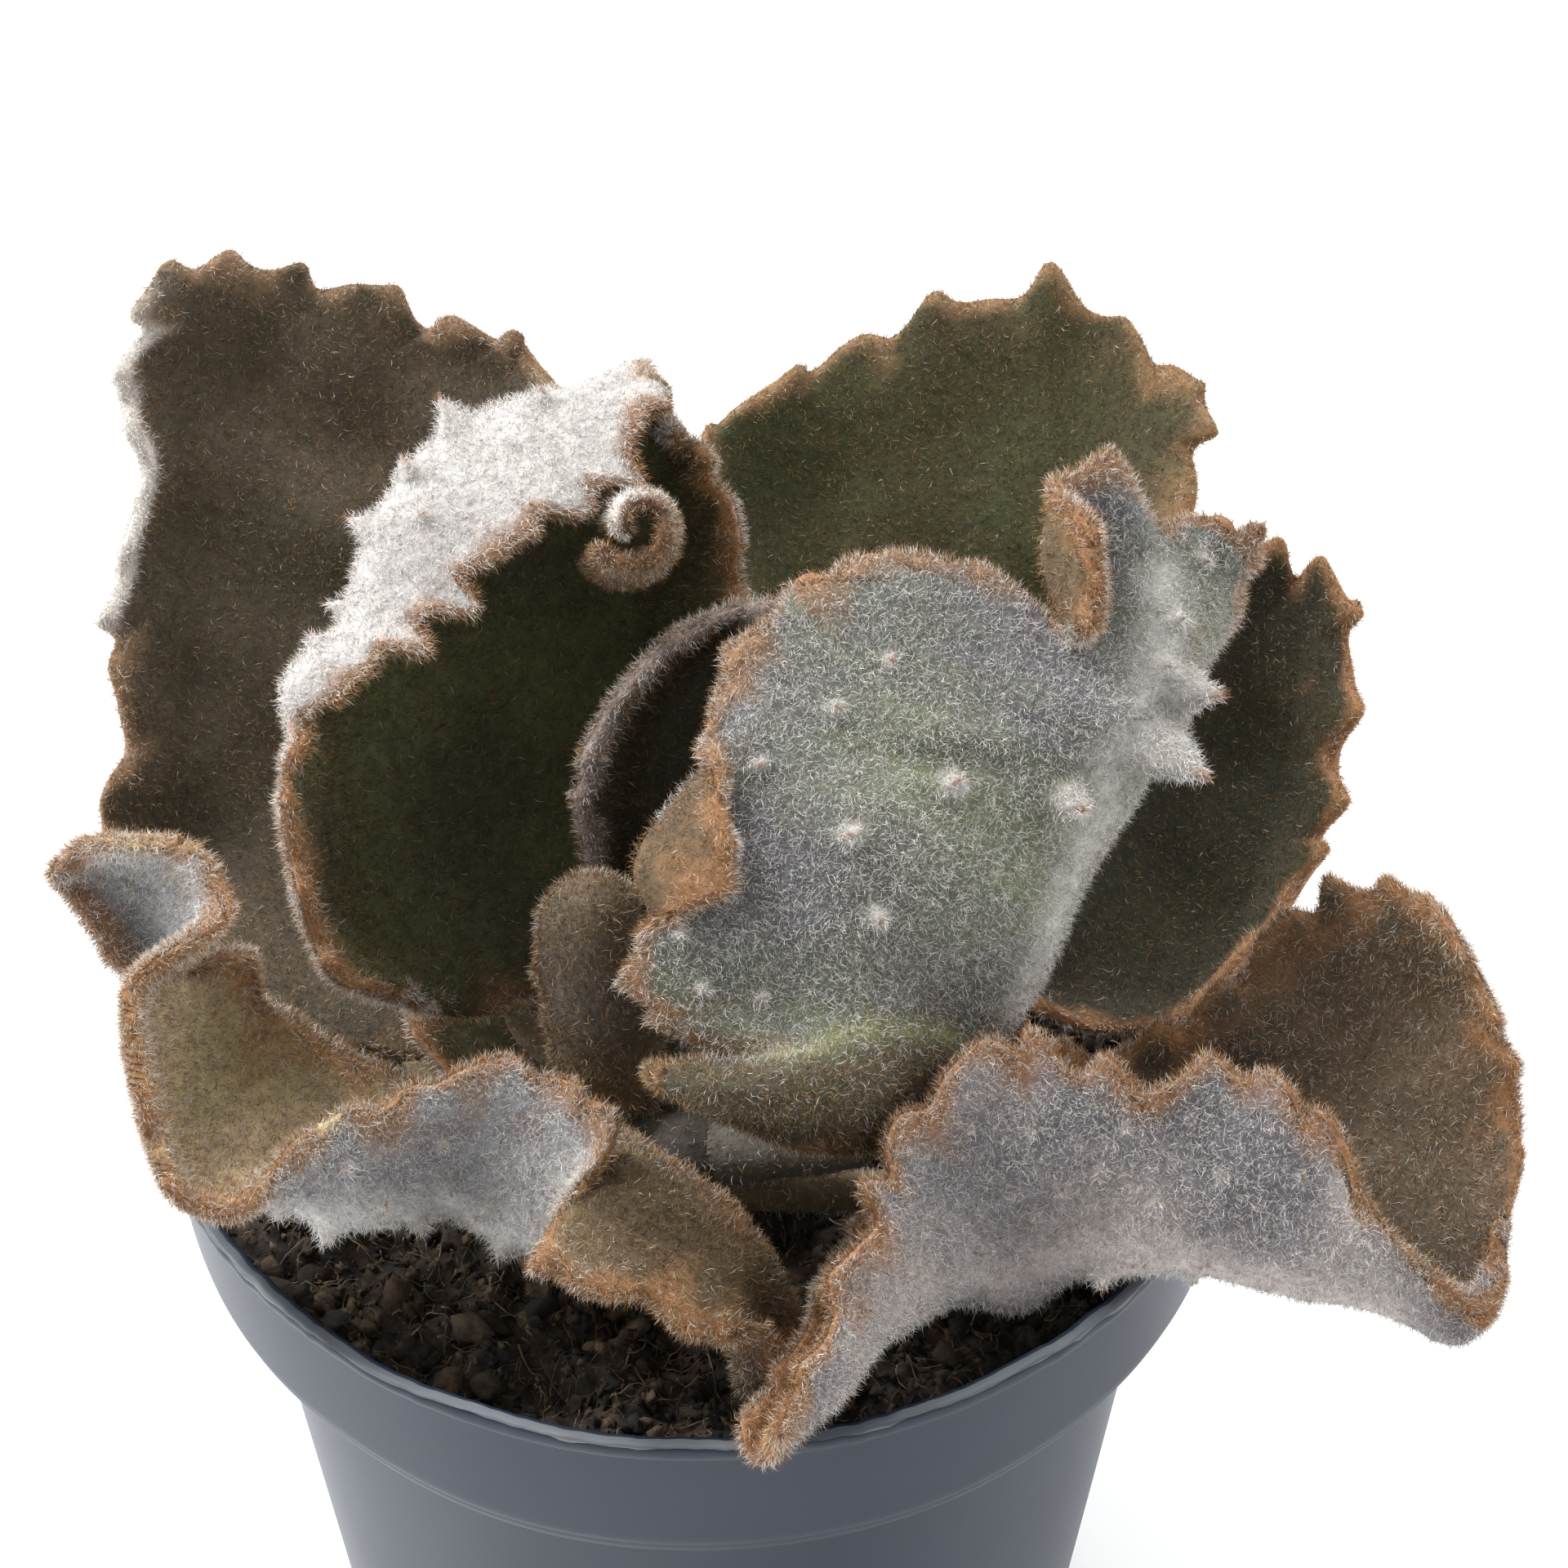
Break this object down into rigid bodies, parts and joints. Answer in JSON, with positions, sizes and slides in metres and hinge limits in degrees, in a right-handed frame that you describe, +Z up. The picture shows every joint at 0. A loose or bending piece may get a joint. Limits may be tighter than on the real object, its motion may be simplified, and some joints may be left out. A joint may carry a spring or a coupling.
{
  "type": "potted kalanchoe",
  "caption": "Felt-leaved kalanchoe with ruffled, toothed leaves around a short stem, growing in soil in a tapered round nursery pot.",
  "frame": {"origin": "centre of the pot's flat underside", "axes": "+Z up along the pot's axis, -Y towards the side with the two low spreading leaves"},
  "size_m": [0.1018, 0.0899, 0.1218],
  "materials": {
    "pot_plastic": "semi-matt grey moulded plastic",
    "peat": "loose dark peat with brown fibres",
    "stem_skin": "short grey-green felt over a soft stem",
    "leaf_felt": "dense short hair, tan above, silver-white below and rust along the edges"
  },
  "bodies": {
    "root": {"pot": "pot_plastic", "soil": "peat", "stem": "stem_skin", "leaf_front_left": "leaf_felt", "leaf_front_right": "leaf_felt", "leaf_front_centre": "leaf_felt", "leaf_mid_left": "leaf_felt", "leaf_back_left": "leaf_felt", "leaf_back_right": "leaf_felt", "leaf_right": "leaf_felt", "leaf_centre": "leaf_felt", "leaf_young": "leaf_felt", "leaf_low": "leaf_felt"}
  },
  "joints": []
}
